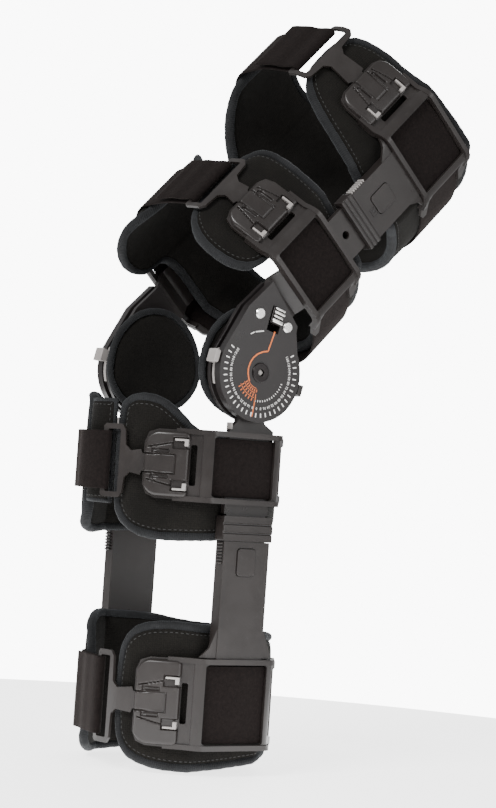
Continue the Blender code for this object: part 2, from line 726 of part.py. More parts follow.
def build_cuff(name, parent, sleeve=None, cap=None):
    cuff = CUFFS[name]
    path = Path(**cuff)
    for prefix, medial in (("lateral", False), ("medial", True)):
        mesh = bent(wing(cuff, not medial, sleeve), path, medial=medial)
        finish_object(f"{prefix}_{name}_wing", mesh, CHARCOAL, parent)
        if sleeve:
            mesh = bent(telescope_button(cuff, sleeve[1]), path, medial=medial)
            origin_at_centre(finish_object(f"{prefix}_{name}_button", mesh, CHARCOAL, parent))
            mesh = bent(collar(cuff, cap), path, medial=medial)
            finish_object(f"{prefix}_{name}_collar", mesh, CHARCOAL, parent)
    finish_object(f"{name}_buckle", bent(buckle(cuff), path), CHARCOAL, parent)
    for side, place in ((1, "top"), (-1, "bottom")):
        mesh = bent(release_tab(cuff, side), path)
        origin_at_centre(finish_object(f"{name}_{place}_release", mesh, PALE_GREY, parent))
    finish_object(f"{name}_strap", strap(cuff, path), VELOUR, parent)
    finish_object(f"{name}_pad", pad(name, path), FOAM, parent)
    return path


def build():
    clear_scene()
    thigh = bpy.data.objects.new("thigh_axis", None)
    thigh.rotation_euler = (0.0, radians(KNEE_FLEXION), 0.0)
    collection("knee_brace").objects.link(thigh)
    build_hinge(thigh)
    build_cuff("thigh_upper", thigh, sleeve=((150.3, 204.0), 172.0), cap=(138.0, 150.0))
    build_cuff("thigh_lower", thigh)
    path = build_cuff("calf_upper", None)
    build_cuff("calf_lower", None, sleeve=((-214.0, -125.8), -141.0), cap=(-125.5, -107.0))
    finish_object("calf_front_band", front_band(path), FOAM)


build()
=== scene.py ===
"""Looks for the hinged knee brace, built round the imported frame.

The frame's origin is on the knee axis; +Z runs up the shank, +X to the back of the leg and -Y to its outer
side. Soft pieces are first made flat, in (distance round the leg, height, distance out), and then bent round
the leg.
Lengths in the shaping functions are millimetres; the placing functions turn them into metres.
"""

import json
from math import cos, pi, radians, sin

import bmesh
import bpy
from mathutils import Matrix, Vector
from mathutils.bvhtree import BVHTree


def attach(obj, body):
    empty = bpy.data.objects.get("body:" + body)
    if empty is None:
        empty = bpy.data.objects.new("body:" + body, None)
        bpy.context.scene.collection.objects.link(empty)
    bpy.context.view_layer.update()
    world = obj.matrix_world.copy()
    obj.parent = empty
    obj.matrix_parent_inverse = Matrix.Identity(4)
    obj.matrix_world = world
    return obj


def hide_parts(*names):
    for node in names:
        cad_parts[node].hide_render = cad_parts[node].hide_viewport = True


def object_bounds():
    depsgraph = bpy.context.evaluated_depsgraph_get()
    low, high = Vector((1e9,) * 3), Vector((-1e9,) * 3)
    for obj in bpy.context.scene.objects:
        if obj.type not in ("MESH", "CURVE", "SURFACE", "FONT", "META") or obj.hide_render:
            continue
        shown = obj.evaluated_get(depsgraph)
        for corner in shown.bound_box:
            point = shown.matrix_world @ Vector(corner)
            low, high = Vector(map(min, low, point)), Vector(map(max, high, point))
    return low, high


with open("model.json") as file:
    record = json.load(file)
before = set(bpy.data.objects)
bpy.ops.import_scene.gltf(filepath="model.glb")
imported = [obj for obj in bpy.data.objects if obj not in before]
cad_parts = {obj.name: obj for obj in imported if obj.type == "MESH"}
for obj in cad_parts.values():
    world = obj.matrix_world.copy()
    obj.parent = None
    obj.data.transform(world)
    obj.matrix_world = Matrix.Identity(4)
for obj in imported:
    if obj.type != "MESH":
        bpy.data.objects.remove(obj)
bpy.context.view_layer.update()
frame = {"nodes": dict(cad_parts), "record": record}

MM = 0.001
FLEXION = radians(44.0)

# ---- the cuffs, as the CAD has them --------------------------------------------------------------

LIFT = 6.6
CORNER_R = 12.0
REAR_TURN = radians(42.0)
LOCK_ANGLE = radians(-29.0)
CORNER_LENGTH = CORNER_R * REAR_TURN
RING_DEPTH = 15.0
FOLD_TAIL = 42.0
STRAP_GAP = 0.9
CUFFS = {
    "thigh_upper": dict(centre=-28.0, flat=77.9, half=27.0, turn=30.0, receiver=63.0, bend=18.0,
                        front_turn=80.0, front=24.0, rear=24.0, ring=73.0, bar=-2.0, window=(207.0, 258.0),
                        swell=0.10, flare=15.0),
    "thigh_lower": dict(centre=-28.0, flat=77.9, half=27.0, turn=36.0, receiver=47.0, bend=18.0,
                        front_turn=83.0, front=20.0, rear=24.0, ring=62.0, bar=-2.0, window=(66.0, 113.0),
                        swell=0.05, flare=13.0),
    "calf_upper": dict(centre=-5.5, flat=69.4, half=27.0, turn=42.0, receiver=38.0, bend=34.0,
                       front_turn=66.0, front=22.0, rear=14.0, ring=61.0, bar=-6.7, window=(-94.5, -49.5),
                       swell=0.0, flare=0.0),
    "calf_lower": dict(centre=1.0, flat=69.4, half=27.0, turn=42.0, receiver=41.0, bend=16.0,
                       front_turn=84.0, front=16.0, rear=14.0, ring=64.0, bar=-0.2, window=(-276.0, -217.0),
                       swell=-0.16, flare=0.0),
}
PAD_EDGES = {
    "thigh_upper": dict(
        top=[(112, 240), (108, 256), (94, 268), (72, 273), (46, 272), (20, 277), (-24, 280), (-60, 277)],
        bottom=[(112, 230), (110, 212), (98, 198), (78, 188), (50, 178), (24, 168), (-24, 168), (-60, 176)],
    ),
    "thigh_lower": dict(
        top=[(112, 110), (108, 128), (94, 138), (72, 143), (46, 142), (20, 138), (-24, 134), (-60, 130)],
        bottom=[(112, 90), (108, 70), (98, 52), (80, 40), (58, 38), (40, 42), (28, 54), (25, 76),
                (-26, 76), (-42, 76), (-60, 78)],
    ),
    "calf_upper": dict(
        top=[(100, -34), (94, -24), (82, -20), (64, -22), (50, -32), (36, -46), (20, -48), (-30, -50),
             (-60, -58)],
        bottom=[(100, -100), (96, -114), (84, -124), (64, -129), (40, -128), (0, -126), (-40, -124),
                (-60, -122)],
    ),
    "calf_lower": dict(
        top=[(94, -216), (88, -200), (74, -190), (54, -187), (30, -188), (-20, -190), (-56, -196)],
        bottom=[(94, -262), (88, -282), (74, -293), (54, -298), (24, -298), (-20, -294), (-56, -288)],
    ),
}
CUFF_BODY = {"thigh_upper": "thigh_cuff", "thigh_lower": "thigh_frame",
             "calf_upper": "shank_frame", "calf_lower": "shank_cuff"}


class Path:
    """A cuff's outline in plan: a flat side panel, a corner, straight panels and an arc over the middle.

    The limb isn't alike on both sides, so the medial front is swollen forward and flared out a little.
    """

    def __init__(self, centre, flat, half, turn, receiver, bend, front_turn, front, rear, swell, flare,
                 **_):
        self.centre = centre
        self.flat = flat
        self.half = half
        self.swell = swell
        self.flare = flare
        turn = radians(turn)
        front_turn = radians(front_turn)
        side = (half, 0.0, 0.0)
        self.front = self.closed([side, (CORNER_R * turn, 0.0, turn), (receiver, turn, turn),
                                  (bend * (front_turn - turn), turn, front_turn),
                                  (front, front_turn, front_turn)])
        self.rear = self.closed([side, (CORNER_LENGTH, 0.0, REAR_TURN), (rear, REAR_TURN, REAR_TURN)])
        self.front_length = sum(length for length, _, _ in self.front)
        self.rear_length = sum(length for length, _, _ in self.rear)
        self.round = 2 * (self.front_length + self.rear_length)
        self.reach = self.walk(self.front, 1e9)[0] - half

    def closed(self, stretches):
        _, inward, heading = self.walk(stretches, 1e9)
        radius = (self.flat - inward) / cos(heading)
        return [*stretches, (radius * (pi / 2 - heading), heading, pi / 2)]

    @staticmethod
    def walk(stretches, distance):
        ahead = inward = heading = 0.0
        for length, start, end in stretches:
            part = min(distance, length)
            heading = start + (end - start) * part / length
            if end == start:
                ahead += part * cos(start)
                inward += part * sin(start)
            else:
                radius = length / (end - start)
                ahead += radius * (sin(heading) - sin(start))
                inward += radius * (cos(start) - cos(heading))
            distance -= part
            if distance <= 0:
                break
        return ahead, inward, heading

    def local(self, w):
        w = (w + self.rear_length) % self.round - self.rear_length
        if w > self.front_length:
            return 2 * self.front_length - w, True
        return w, False

    def point(self, w, out):
        w, medial = self.local(w)
        ahead, inward, heading = self.walk(self.front if w >= 0 else self.rear, abs(w))
        ahead += out * sin(heading)
        inward -= out * cos(heading)
        x = self.centre - ahead if w >= 0 else self.centre + ahead
        y = -self.flat + inward
        return self.swollen(x, -y if medial else y)

    def swollen(self, x, y):
        """Moves a point of the medial front forward, or back where swell is negative, and outward."""
        ahead = self.centre - self.half - x
        if ahead <= 0 or y <= -20.0:
            return x, y
        share = min(1.0, (y + 20.0) / 60.0)
        share *= share * (3 - 2 * share)
        part = min(1.0, ahead / self.reach)
        return x - ahead * self.swell * share, y + 4 * self.flare * part * (1 - part) * share

    def lift(self, w):
        w, _ = self.local(w)
        share = min(1.0, max(0.0, 1.0 - (abs(w) - self.half) / CORNER_LENGTH))
        return LIFT * share * share * (3 - 2 * share)


PATHS = {name: Path(**cuff) for name, cuff in CUFFS.items()}
THIGH_TURN = Matrix.Rotation(FLEXION, 4, "Y")


def round_leg(name, lifted=False):
    """A function from flat (w, v, out) to the place round the leg in the cuff called name, in metres."""
    path = PATHS[name]
    turn = THIGH_TURN if name.startswith("thigh") else Matrix.Identity(4)

    def place(w, v, out):
        x, y = path.point(w, out + (path.lift(w) if lifted else 0.0))
        return turn @ (Vector((x, y, v)) * MM)

    return place


def beside_leg(side, thigh=True):
    """A function from flat (x, z, out) to the place beside the leg, out from its middle, in metres."""
    turn = THIGH_TURN if thigh else Matrix.Identity(4)
    return lambda x, z, out: turn @ (Vector((x, side * out, z)) * MM)


# ---- materials -----------------------------------------------------------------------------------


class Look:
    """A material under construction, with short names for the nodes it needs."""

    def __init__(self, name, roughness, metallic=0.0, specular=0.5):
        self.material = bpy.data.materials.new(name)
        self.material.use_nodes = True
        self.nodes = self.material.node_tree.nodes
        self.links = self.material.node_tree.links
        self.shader = self.nodes["Principled BSDF"]
        self.shader.inputs["Roughness"].default_value = roughness
        self.shader.inputs["Metallic"].default_value = metallic
        self.shader.inputs["Specular IOR Level"].default_value = specular
        self.place = self.nodes.new("ShaderNodeTexCoord").outputs["Object"]
        self.height = None

    def node(self, kind, inputs=(), **settings):
        made = self.nodes.new(kind)
        for key, value in settings.items():
            setattr(made, key, value)
        for key, value in dict(inputs).items():
            if hasattr(value, "is_output"):
                self.links.new(value, made.inputs[key])
            else:
                made.inputs[key].default_value = value
        return made

    def noise(self, scale, detail=4.0, roughness=0.55, vector=None):
        inputs = {"Vector": vector or self.place, "Scale": scale, "Detail": detail, "Roughness": roughness}
        return self.node("ShaderNodeTexNoise", inputs).outputs["Fac"]

    def ramp(self, value, low, high, start, end):
        """Maps value from low..high onto start..end."""
        inputs = {"Value": value, "From Min": low, "From Max": high, "To Min": start, "To Max": end}
        return self.node("ShaderNodeMapRange", inputs).outputs["Result"]

    def mix(self, share, first, second):
        made = self.node("ShaderNodeMix", data_type="RGBA")
        self.links.new(share, made.inputs[0])
        for socket, colour in ((made.inputs[6], first), (made.inputs[7], second)):
            if hasattr(colour, "is_output"):
                self.links.new(colour, socket)
            else:
                socket.default_value = (*colour, 1.0)
        return made.outputs[2]

    def maths(self, operation, first, second):
        return self.node("ShaderNodeMath", {0: first, 1: second}, operation=operation).outputs[0]

    def colour(self, socket):
        self.links.new(socket, self.shader.inputs["Base Color"])

    def roughness(self, socket):
        self.links.new(socket, self.shader.inputs["Roughness"])

    def bump(self, height, strength, distance):
        inputs = {"Height": height, "Strength": strength, "Distance": distance}
        if self.height is not None:
            inputs["Normal"] = self.height
        self.height = self.node("ShaderNodeBump", inputs).outputs["Normal"]
        self.links.new(self.height, self.shader.inputs["Normal"])


def moulded_plastic(name, dark, light, roughness=0.42, grain=0.10):
    """Satin moulded plastic: fine spark grain, faint flow mottling and scuffs that catch the light."""
    look = Look(name, roughness, specular=0.42)
    cloud = look.noise(22.0, 3.0)
    speck = look.noise(900.0, 2.0)
    base = look.mix(look.ramp(cloud, 0.35, 0.65, 0.0, 1.0), dark, light)
    scuff = look.noise(140.0, 6.0, 0.7)
    worn = [min(1.0, c * 1.5 + 0.012) for c in light]
    look.colour(look.mix(look.ramp(scuff, 0.62, 0.78, 0.0, 0.5), base, worn))
    look.roughness(look.ramp(look.maths("ADD", cloud, scuff), 0.7, 1.3, roughness - 0.07, roughness + 0.09))
    look.bump(speck, grain, 0.0002)
    look.bump(cloud, 0.08, 0.0015)
    return look.material


def metal(name, colour, roughness, brushed=0.25):
    look = Look(name, roughness, 1.0)
    stretched = look.node("ShaderNodeMapping", {"Vector": look.place, "Scale": (1.0, 1.0, 14.0)})
    streaks = look.noise(260.0, 5.0, 0.7, stretched.outputs["Vector"])
    worn = look.noise(60.0, 5.0)
    look.colour(look.mix(look.ramp(worn, 0.4, 0.7, 0.0, 1.0), colour, [c * 0.78 for c in colour]))
    look.roughness(look.ramp(streaks, 0.3, 0.7, roughness - 0.06, roughness + 0.12))
    look.bump(streaks, brushed, 0.0001)
    return look.material


def velour():
    """Brushed loop fabric: short dark pile that clumps and catches a dull sheen."""
    look = Look("strap_velour", 0.92, specular=0.12)
    look.shader.inputs["Sheen Weight"].default_value = 0.07
    look.shader.inputs["Sheen Roughness"].default_value = 0.45
    look.shader.inputs["Sheen Tint"].default_value = (0.55, 0.46, 0.43, 1.0)
    pile = look.noise(1500.0, 3.0, 0.7)
    clump = look.noise(420.0, 5.0, 0.65)
    lint = look.noise(620.0, 2.0, 0.4)
    tufts = look.ramp(clump, 0.35, 0.68, 0.0, 1.0)
    base = look.mix(tufts, (0.0040, 0.0026, 0.0024), (0.0084, 0.0058, 0.0053))
    look.colour(look.mix(look.ramp(lint, 0.70, 0.82, 0.0, 0.3), base, (0.035, 0.029, 0.027)))
    look.bump(pile, 0.5, 0.0005)
    look.bump(clump, 0.25, 0.0012)
    return look.material


def knit():
    """The pads' knit face over foam: a fine loop grid laid out by the piece's own flat map."""
    look = Look("pad_knit", 0.95, specular=0.12)
    look.shader.inputs["Sheen Weight"].default_value = 0.05
    look.shader.inputs["Sheen Tint"].default_value = (0.6, 0.6, 0.58, 1.0)
    flat = look.node("ShaderNodeUVMap", uv_map="flat").outputs["UV"]
    loops = look.node("ShaderNodeTexVoronoi", {"Vector": flat, "Scale": 620.0, "Randomness": 0.35})
    cloud = look.noise(35.0, 4.0)
    lint = look.noise(700.0, 2.0, 0.4)
    patches = look.ramp(cloud, 0.35, 0.65, 0.0, 1.0)
    base = look.mix(patches, (0.0058, 0.0051, 0.0042), (0.0100, 0.0089, 0.0075))
    base = look.mix(look.ramp(loops.outputs["Distance"], 0.2, 0.7, 0.0, 0.7), base, (0.0035, 0.0033, 0.003))
    look.colour(look.mix(look.ramp(lint, 0.74, 0.86, 0.0, 0.3), base, (0.034, 0.032, 0.029)))
    look.bump(loops.outputs["Distance"], 0.6, 0.0006)
    look.bump(cloud, 0.3, 0.003)
    return look.material


def binding():
    """Stretch binding rolled over a pad's edge: fine ribs across the roll, a cooler grey than the face."""
    look = Look("pad_binding", 0.8, specular=0.2)
    look.shader.inputs["Sheen Weight"].default_value = 0.08
    look.shader.inputs["Sheen Tint"].default_value = (0.7, 0.75, 0.8, 1.0)
    flat = look.node("ShaderNodeUVMap", uv_map="flat").outputs["UV"]
    wave = {"Vector": flat, "Scale": 190.0, "Distortion": 0.6, "Detail": 1.0}
    ribs = look.node("ShaderNodeTexWave", wave)
    cloud = look.noise(60.0, 4.0)
    patches = look.ramp(cloud, 0.35, 0.65, 0.0, 1.0)
    base = look.mix(patches, (0.0080, 0.0082, 0.0088), (0.0150, 0.0155, 0.0166))
    look.colour(look.mix(look.ramp(ribs.outputs["Fac"], 0.0, 0.5, 0.55, 0.0), base, (0.005, 0.0055, 0.006)))
    look.bump(ribs.outputs["Fac"], 0.5, 0.0005)
    look.bump(cloud, 0.3, 0.0015)
    return look.material


def thread(name, colour):
    look = Look(name, 0.7)
    twist = look.noise(1800.0, 2.0)
    look.colour(look.mix(look.ramp(twist, 0.4, 0.6, 0.0, 1.0), colour, [c * 0.55 for c in colour]))
    look.bump(twist, 0.4, 0.0002)
    return look.material


def print_ink(name, colour):
    """Pad-printed ink, a little broken up where it has rubbed."""
    look = Look(name, 0.5)
    rub = look.noise(420.0, 4.0, 0.7)
    look.colour(look.mix(look.ramp(rub, 0.5, 0.75, 0.0, 0.45), colour, [c * 0.45 for c in colour]))
    look.bump(rub, 0.1, 0.0001)
    return look.material


CHARCOAL = moulded_plastic("charcoal_plastic", (0.0135, 0.0109, 0.0101), (0.0205, 0.0168, 0.0157), 0.34)
DARK_PLATE = moulded_plastic("dial_plate", (0.0105, 0.0085, 0.0084), (0.0150, 0.0124, 0.0122), 0.34, 0.05)
GREY = moulded_plastic("grey_plastic", (0.27, 0.25, 0.24), (0.36, 0.34, 0.325), 0.38)
BLACK_METAL = metal("black_metal", (0.035, 0.032, 0.032), 0.3)
BRIGHT_METAL = metal("bright_metal", (0.80, 0.79, 0.77), 0.22)
VELOUR = velour()
KNIT = knit()
BINDING = binding()
DARK_THREAD = thread("stitch_thread", (0.024, 0.024, 0.023))
WHITE_INK = print_ink("white_ink", (0.72, 0.71, 0.69))
ORANGE_INK = print_ink("orange_ink", (0.62, 0.15, 0.035))
SLOT_LOOKS = {"charcoal_plastic": CHARCOAL, "dial_plate": DARK_PLATE, "grey_plastic": GREY,
              "black_metal": BLACK_METAL, "bright_metal": BRIGHT_METAL, "velour": VELOUR, "foam": KNIT}


# ---- making pieces -------------------------------------------------------------------------------


def piece(name, mesh, material, body):
    mesh.name = name
    mesh.materials.clear()
    mesh.materials.append(material)
    made = bpy.data.objects.new(name, mesh)
    bpy.context.scene.collection.objects.link(made)
    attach(made, body)
    return made


def linked(mesh):
    made = bpy.data.objects.new("working", mesh)
    bpy.context.scene.collection.objects.link(made)
    return made


def taken(made):
    """The working object's mesh as its modifiers leave it, with the object removed."""
    bpy.context.view_layer.update()
    mesh = bpy.data.meshes.new_from_object(made.evaluated_get(bpy.context.evaluated_depsgraph_get()))
    bpy.data.objects.remove(made, do_unlink=True)
    return mesh


def chaikin(loop, rounds=2):
    """Rounds a closed outline by cutting its corners."""
    for _ in range(rounds):
        cut = []
        for (ax, ay), (bx, by) in zip(loop, [*loop[1:], loop[0]]):
            cut.append((ax * 0.75 + bx * 0.25, ay * 0.75 + by * 0.25))
            cut.append((ax * 0.25 + bx * 0.75, ay * 0.25 + by * 0.75))
        loop = cut
    return loop


def evenly(loop, step):
    """A closed outline's points again, at equal distances of about step."""
    points = [Vector(p) for p in loop]
    points.append(points[0])
    lengths = [(b - a).length for a, b in zip(points, points[1:])]
    count = max(8, round(sum(lengths) / step))
    result = []
    index = 0
    passed = 0.0
    for n in range(count):
        target = sum(lengths) * n / count
        while passed + lengths[index] < target:
            passed += lengths[index]
            index += 1
        share = (target - passed) / lengths[index]
        result.append(points[index].lerp(points[index + 1], share))
    return result


def inset(points, depth):
    """Moves an anticlockwise outline's points inward by depth."""
    moved = []
    count = len(points)
    for n, point in enumerate(points):
        along = (points[(n + 1) % count] - points[n - 1]).normalized()
        moved.append(point + Vector((-along.y, along.x)) * depth)
    return moved


def anticlockwise(loop):
    area = sum(ax * by - bx * ay for (ax, ay), (bx, by) in zip(loop, [*loop[1:], loop[0]]))
    return loop if area > 0 else loop[::-1]


def flat_slab(points, low, high, soft):
    """A flat slab with rounded rims, in metres."""
    curve = bpy.data.curves.new("slab", "CURVE")
    curve.dimensions = "2D"
    curve.fill_mode = "BOTH"
    curve.extrude = (high - low) / 2 * MM - soft * MM
    curve.bevel_depth = soft * MM
    curve.bevel_resolution = 3
    curve.offset = -soft * MM
    spline = curve.splines.new("POLY")
    spline.points.add(len(points) - 1)
    for target, point in zip(spline.points, points):
        target.co = (point.x * MM, point.y * MM, 0.0, 1.0)
    spline.use_cyclic_u = True
    mesh = taken(linked(curve))
    mesh.transform(Matrix.Translation((0.0, 0.0, (low + high) / 2 * MM)))
    return mesh


def swollen(mesh, voxel, cap):
    """The slab remeshed and blown up a little by cloth pressure, with every point's travel capped."""
    made = linked(mesh)
    weld = made.modifiers.new("weld", "WELD")
    weld.merge_threshold = 0.00005
    remesh = made.modifiers.new("remesh", "REMESH")
    remesh.mode = "VOXEL"
    remesh.voxel_size = voxel * MM
    made = linked(taken(made))
    smooth = made.modifiers.new("smooth", "SMOOTH")
    smooth.factor = 0.5
    smooth.iterations = 3
    made = linked(taken(made))
    scene = bpy.context.scene
    cloth = made.modifiers.new("cloth", "CLOTH")
    cloth.settings.use_pressure = True
    cloth.settings.uniform_pressure_force = 4.0
    cloth.settings.effector_weights.gravity = 0.0
    cloth.settings.quality = 4
    cloth.point_cache.frame_start = 1
    cloth.point_cache.frame_end = 20
    for step in range(1, 21):
        scene.frame_set(step)
    bpy.context.view_layer.update()
    blown = made.evaluated_get(bpy.context.evaluated_depsgraph_get())
    places = [vertex.co.copy() for vertex in blown.data.vertices]
    made.modifiers.remove(cloth)
    for vertex, place in zip(made.data.vertices, places):
        step = place - vertex.co
        if step.length > cap * MM:
            step *= cap * MM / step.length
        vertex.co += step
    scene.frame_set(1)
    finer = made.modifiers.new("finer", "SUBSURF")
    finer.levels = finer.render_levels = 1
    return taken(made)


def bend_into_place(mesh, place):
    """Gives a flat mesh a flat map in metres and moves it to its place."""
    layer = mesh.uv_layers.new(name="flat")
    for loop in mesh.loops:
        layer.data[loop.index].uv = mesh.vertices[loop.vertex_index].co.xy
    for vertex in mesh.vertices:
        vertex.co = place(*(vertex.co / MM))
    shape = bmesh.new()
    shape.from_mesh(mesh)
    bmesh.ops.recalc_face_normals(shape, faces=shape.faces)
    if shape.calc_volume(signed=True) < 0:
        bmesh.ops.reverse_faces(shape, faces=shape.faces)
    for face in shape.faces:
        face.smooth = True
    shape.to_mesh(mesh)
    shape.free()
    return mesh


def rolled_edge(points, low, high, width, place):
    """A soft roll of oval section along a closed outline, with a flat map along and round it."""
    sides = 12
    count = len(points)
    shape = bmesh.new()
    layer = shape.loops.layers.uv.new("flat")
    rows = []
    for n, point in enumerate(points):
        along = (points[(n + 1) % count] - points[n - 1]).normalized()
        inward = Vector((-along.y, along.x))
        row = []
        pucker = 1.0 + 0.045 * sin(n * 1.9) + 0.03 * sin(n * 0.73 + 1.0)
        for k in range(sides):
            angle = 2 * pi * k / sides
            across = point + inward * (width / 2 - cos(angle) * width / 2 * pucker)
            out = (low + high) / 2 + sin(angle) * (high - low) / 2 * min(1.0, pucker)
            row.append(shape.verts.new(place(across.x, across.y, out)))
        rows.append(row)
    length = 0.0
    for n in range(count):
        step = (points[(n + 1) % count] - points[n]).length * MM
        for k in range(sides):
            corners = (rows[n][k], rows[(n + 1) % count][k], rows[(n + 1) % count][(k + 1) % sides],
                       rows[n][(k + 1) % sides])
            face = shape.faces.new(corners)
            face.smooth = True
            flat = ((length, k), (length + step, k), (length + step, k + 1), (length, k + 1))
            for loop, (u, turn) in zip(face.loops, flat):
                loop[layer].uv = (u, turn * 0.0015)
        length += step
    bmesh.ops.recalc_face_normals(shape, faces=shape.faces)
    if shape.calc_volume(signed=True) < 0:
        bmesh.ops.reverse_faces(shape, faces=shape.faces)
    mesh = bpy.data.meshes.new("roll")
    shape.to_mesh(mesh)
    shape.free()
    return mesh


def stitches(points, surface, place, pitch=4.0, length=2.6, radius=0.38):
    """A row of stitches along an outline, each a short bar that dips at its ends, lying on a flat mesh."""
    corners = [vertex.co for vertex in surface.vertices]
    tree = BVHTree.FromPolygons(corners, [tuple(face.vertices) for face in surface.polygons])
    shape = bmesh.new()
    for start in evenly([tuple(p) for p in points], pitch):
        close = min(range(len(points)), key=lambda k: (points[k] - start).length)
        along = (points[(close + 1) % len(points)] - points[close - 1]).normalized()
        across = Vector((-along.y, along.x))
        rows = []
        for share, thick in ((-0.5, 0.15), (-0.3, 0.9), (0.0, 1.0), (0.3, 0.9), (0.5, 0.15)):
            middle = start + along * length * share
            hit = tree.ray_cast(Vector((middle.x * MM, middle.y * MM, 0.02)), Vector((0.0, 0.0, -1.0)))[0]
            if hit is None:
                break
            level = hit.z / MM + 0.12
            row = []
            for k in range(5):
                angle = 2 * pi * k / 5
                spot = middle + across * cos(angle) * radius * thick
                row.append(shape.verts.new(place(spot.x, spot.y, level + sin(angle) * radius * thick)))
            rows.append(row)
        if len(rows) < 5:
            continue
        for first, second in zip(rows, rows[1:]):
            for k in range(5):
                shape.faces.new((first[k], second[k], second[(k + 1) % 5], first[(k + 1) % 5]))
        shape.faces.new(rows[0])
        shape.faces.new(rows[-1][::-1])
    loose = [v for v in shape.verts if not v.link_faces]
    bmesh.ops.delete(shape, geom=loose, context="VERTS")
    bmesh.ops.recalc_face_normals(shape, faces=shape.faces)
    for face in shape.faces:
        face.smooth = True
    mesh = bpy.data.meshes.new("stitches")
    shape.to_mesh(mesh)
    shape.free()
    return mesh


def padded_piece(name, outline, low, high, place, body, node, roll=6.6, voxel=3.6, sewn=True):
    """A foam pad in a knit face, with binding rolled over its edge and, if sewn, stitches inside it."""
    loop = evenly(anticlockwise(outline), 3.0)
    slab = flat_slab(inset(loop, roll * 0.45), low + 0.9, high - 0.9, 2.2)
    flat = swollen(slab, voxel, 0.9)
    seam = stitches(inset(loop, roll + 1.6), flat, place) if sewn else None
    core = piece(f"{name}_face", bend_into_place(flat, place), KNIT, body)
    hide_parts(node)
    piece(f"{name}_binding", rolled_edge(loop, low + 0.1, high - 0.1, roll, place), BINDING, body)
    if sewn:
        piece(f"{name}_stitches", seam, DARK_THREAD, body)


def ribbon(route, low, high, place):
    """A flat webbing along route, points of (w, out, thickness), between two heights, with soft edges."""
    section = [(0.0, 0.0), (0.12, 0.45), (0.55, 0.5)]
    span = high - low
    across = [(low + d, s) for d, s in section]
    across += [(low + span * n / 8, 0.5) for n in range(1, 8)]
    across += [(high - d, s) for d, s in reversed(section)]
    shape = bmesh.new()
    layer = shape.loops.layers.uv.new("flat")
    rows = []
    reach = 0.0
    reaches = []
    for n, (w, out, thick) in enumerate(route):
        before = route[max(0, n - 1)]
        after = route[min(len(route) - 1, n + 1)]
        along = Vector((after[0] - before[0], after[1] - before[1])).normalized()
        normal = Vector((-along.y, along.x))
        if n:
            reach += Vector((w - before[0], out - before[1])).length
        reaches.append(reach)
        row = []
        for sign in (1, -1):
            for v, share in (across if sign > 0 else across[::-1][1:-1]):
                spot = Vector((w, out)) + normal * sign * share * thick
                row.append(shape.verts.new(place(spot.x, v, spot.y)))
        rows.append(row)
    count = len(rows[0])
    for n in range(len(rows) - 1):
        for k in range(count):
            corners = (rows[n][k], rows[n + 1][k], rows[n + 1][(k + 1) % count], rows[n][(k + 1) % count])
            face = shape.faces.new(corners)
            face.smooth = True
            for loop, along in zip(face.loops, (reaches[n], reaches[n + 1], reaches[n + 1], reaches[n])):
                loop[layer].uv = (along * MM, loop.vert.index * 0.001)
    shape.faces.new(rows[0][::-1])
    shape.faces.new(rows[-1])
    bmesh.ops.recalc_face_normals(shape, faces=shape.faces)
    if shape.calc_volume(signed=True) < 0:
        bmesh.ops.reverse_faces(shape, faces=shape.faces)
    mesh = bpy.data.meshes.new("ribbon")
    shape.to_mesh(mesh)
    shape.free()
    return mesh


def strap(name):
    """A cuff's strap: folded back over the D-ring, then round the leg's front, back and both windows."""
    cuff = CUFFS[name]
    path = PATHS[name]
    low, high = cuff["window"][0] + STRAP_GAP, cuff["window"][1] - STRAP_GAP
    bar = cuff["half"] + cuff["ring"] + RING_DEPTH
    last = path.round + cuff["half"] + 8.0
    route = []
    w = bar + FOLD_TAIL
    while w > bar + 1.0:
        route.append((w, 5.75 + 0.25 * sin((w - bar) * 0.35), 1.5))
        w -= 2.0
    route += [(bar + 0.2, 5.6, 1.5), (bar - 0.7, 5.0, 1.5), (bar - 1.15, 4.0, 1.5), (bar - 1.2, 3.0, 1.5),
              (bar - 1.0, 2.0, 1.5), (bar - 0.2, 1.25, 1.5), (bar + 1.0, 1.05, 1.5)]
    w = bar + 3.0
    while w < last:
        from_middle = abs(path.local(w)[0])
        lift = path.lift(w)
        inside = max(0.0, 1.0 - (from_middle / (cuff["half"] - 1.5)) ** 2)
        ripple = 0.12 * sin(w * 0.21) + 0.1 * sin(w * 0.083 + 1.0)
        route.append((w, 1.15 + max(0.0, ripple) + lift + 1.5 * inside, 1.4))
        w += 2.5
    mesh = ribbon(route, low, high, round_leg(name))
    made = piece(f"{name}_strap_webbing", mesh, VELOUR, CUFF_BODY[name])
    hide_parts(f"{name}_strap")


def pad_outline(name):
    edges = PAD_EDGES[name]
    back = -2 * PATHS[name].rear_length
    top = edges["top"] + [(back - w, v) for w, v in reversed(edges["top"])]
    bottom = edges["bottom"] + [(back - w, v) for w, v in reversed(edges["bottom"])]
    return chaikin(top + bottom[::-1])


